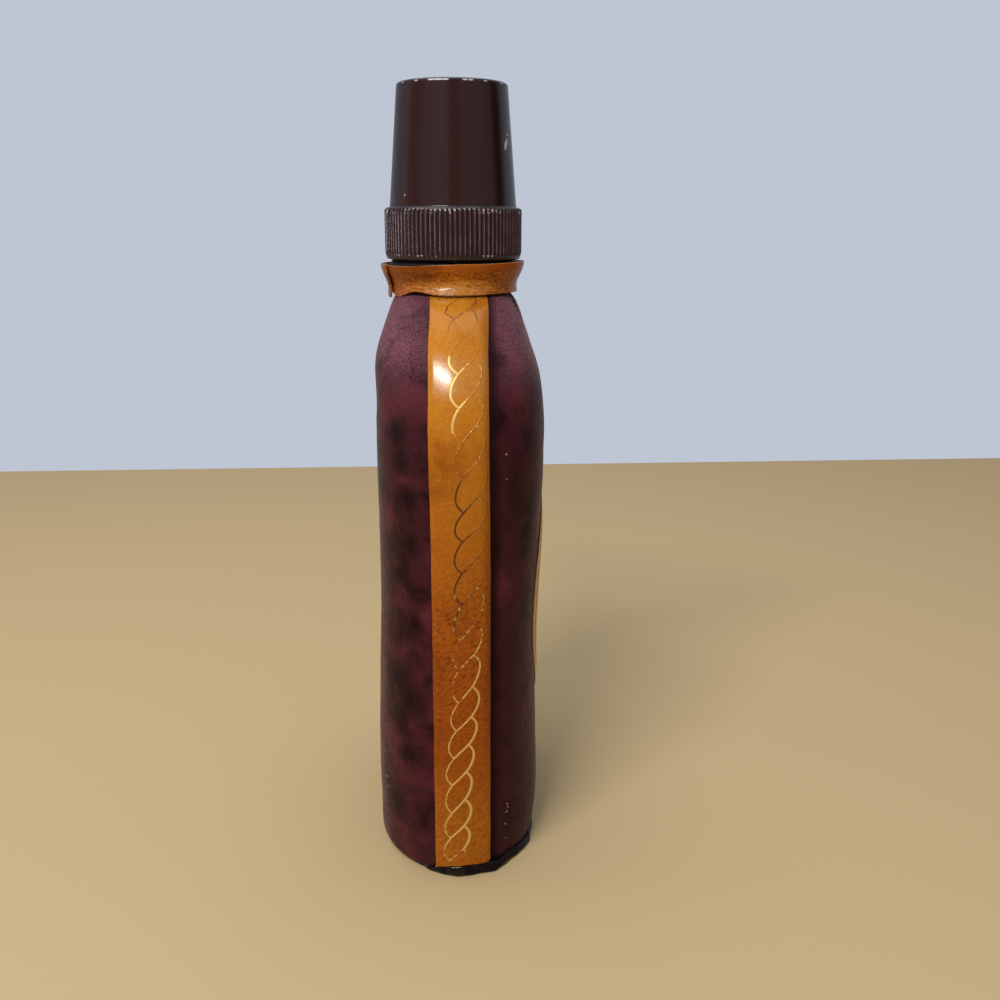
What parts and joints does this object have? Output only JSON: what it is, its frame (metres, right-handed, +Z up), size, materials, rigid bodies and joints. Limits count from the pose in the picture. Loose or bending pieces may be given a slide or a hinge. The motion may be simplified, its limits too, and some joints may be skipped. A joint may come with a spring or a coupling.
{
  "type": "leather-wrapped decanter",
  "caption": "Flat-oval glass decanter wrapped in maroon and tan leather with gold-tooled side strips, a neck collar, a dark sole and a ribbed jigger cap that unscrews.",
  "frame": {"origin": "middle of the sole's underside, on the surface that the decanter stands on", "axes": "+Z up the bottle's axis to the cup, X across the wide faces, front face with the medallion towards -Y"},
  "size_m": [0.112, 0.0568, 0.2556],
  "materials": {
    "sole_leather": "dark leather with a polished edge",
    "glass": "clear moulded glass",
    "maroon_leather": "mottled maroon and black leather, fine grain, satin",
    "tan_leather": "tan leather, gold-tooled, polished by handling",
    "stopper_plastic": "natural white moulded plastic",
    "liner_plastic": "soft foam ring",
    "cap_plastic": "dark brown gloss moulding"
  },
  "bodies": {
    "bottle": {"base_sole": "sole_leather", "glass_bottle": "glass", "front_panel": "maroon_leather", "back_panel": "maroon_leather", "near_strip": "tan_leather", "far_strip": "tan_leather", "neck_collar": "tan_leather", "front_medallion": "tan_leather"},
    "liner": {"cap_liner": "liner_plastic"},
    "cap": {"jigger_cap": "cap_plastic"},
    "inner_stopper": {"stopper": "stopper_plastic"}
  },
  "joints": [
    {"name": "cap_rise", "type": "slide", "parent": "bottle", "child": "liner", "axis": [0, 0, 1], "range_m": [0, 0.0063]},
    {"name": "cap_turn", "type": "hinge", "parent": "liner", "child": "cap", "pos_m": [0, 0, 0.208], "axis": [0, 0, 1], "range_deg": [0, 540]},
    {"name": "stopper_pull", "type": "slide", "parent": "bottle", "child": "inner_stopper", "axis": [0, 0, 1], "range_m": [0, 0.018]}
  ],
  "couplings": [
    {"joint": "cap_rise", "follows": "cap_turn", "m_per_rad": 0.00066845}
  ]
}
